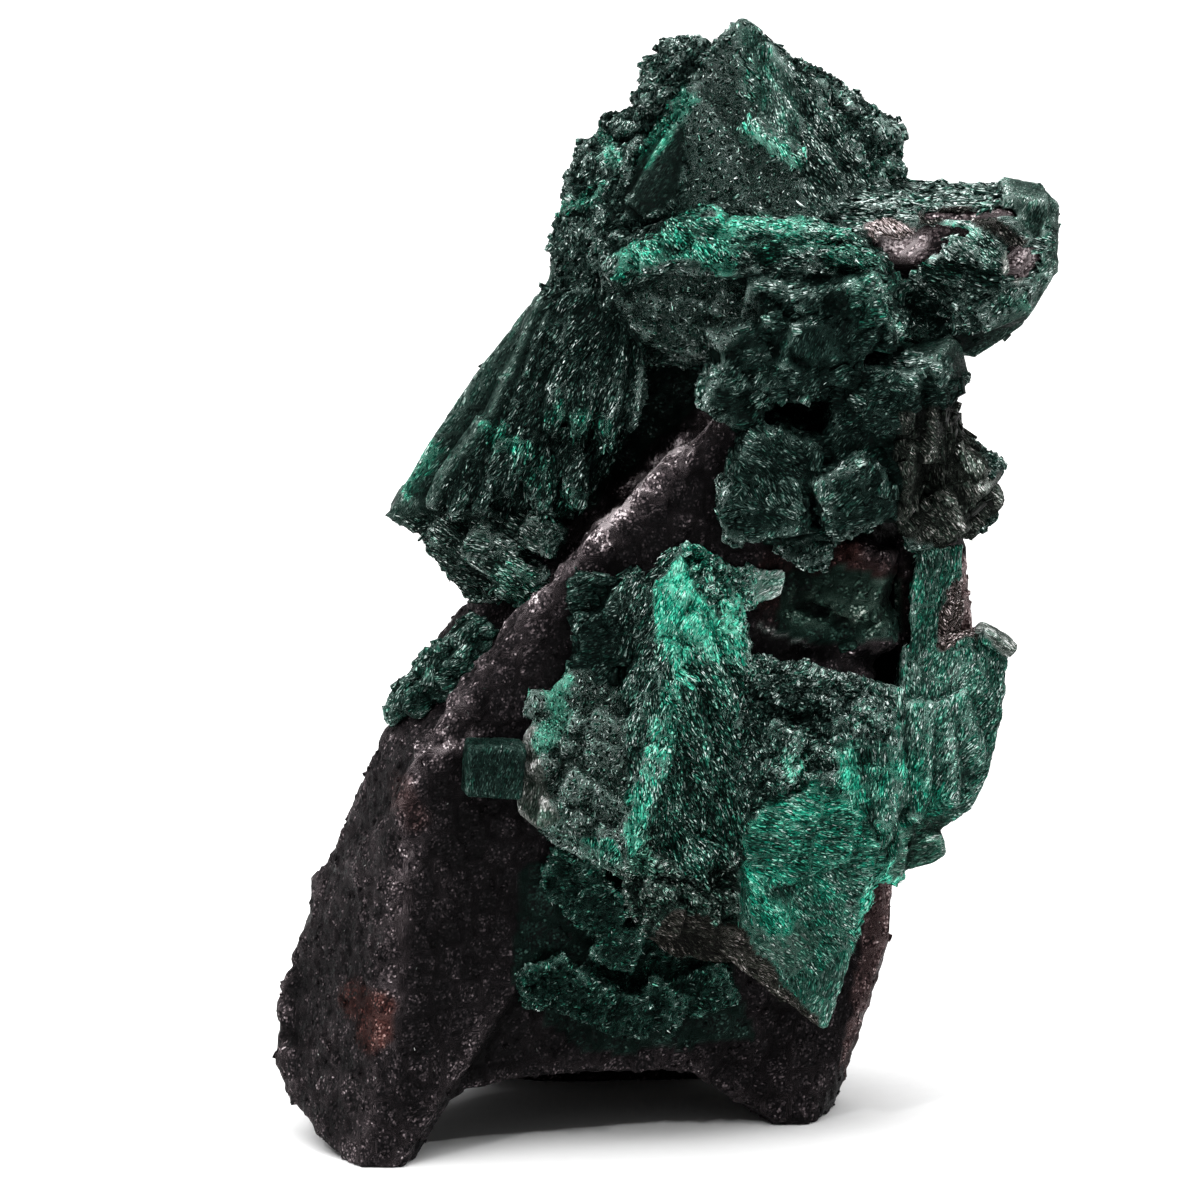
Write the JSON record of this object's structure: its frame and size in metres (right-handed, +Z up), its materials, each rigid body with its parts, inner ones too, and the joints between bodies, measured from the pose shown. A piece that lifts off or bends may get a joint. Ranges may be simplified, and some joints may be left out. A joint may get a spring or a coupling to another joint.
{
  "type": "mineral specimen",
  "caption": "Malachite specimen: velvety green fibrous crusts, bladed and block-shaped crystals grown over an upright dark rock that stands on short feet with a low arch between them",
  "frame": {"origin": "middle of the bounding box's base, on the surface that the specimen stands on", "axes": "+Z is up, -Y is the side with the crystals, which faces the viewer, and +X is the viewer's right"},
  "size_m": [0.0548, 0.037, 0.0782],
  "materials": {
    "matrix": "rough, grainy, dark brown-black",
    "malachite": "velvety, fibrous, satin sparkle",
    "dark_malachite": "vitreous to satin, dark green"
  },
  "bodies": {
    "root": {"matrix": "matrix", "malachite_upper": "malachite", "malachite_fan": "malachite", "malachite_skirt": "dark_malachite", "malachite_cube": "dark_malachite", "malachite_left_crust": "dark_malachite"}
  },
  "joints": []
}
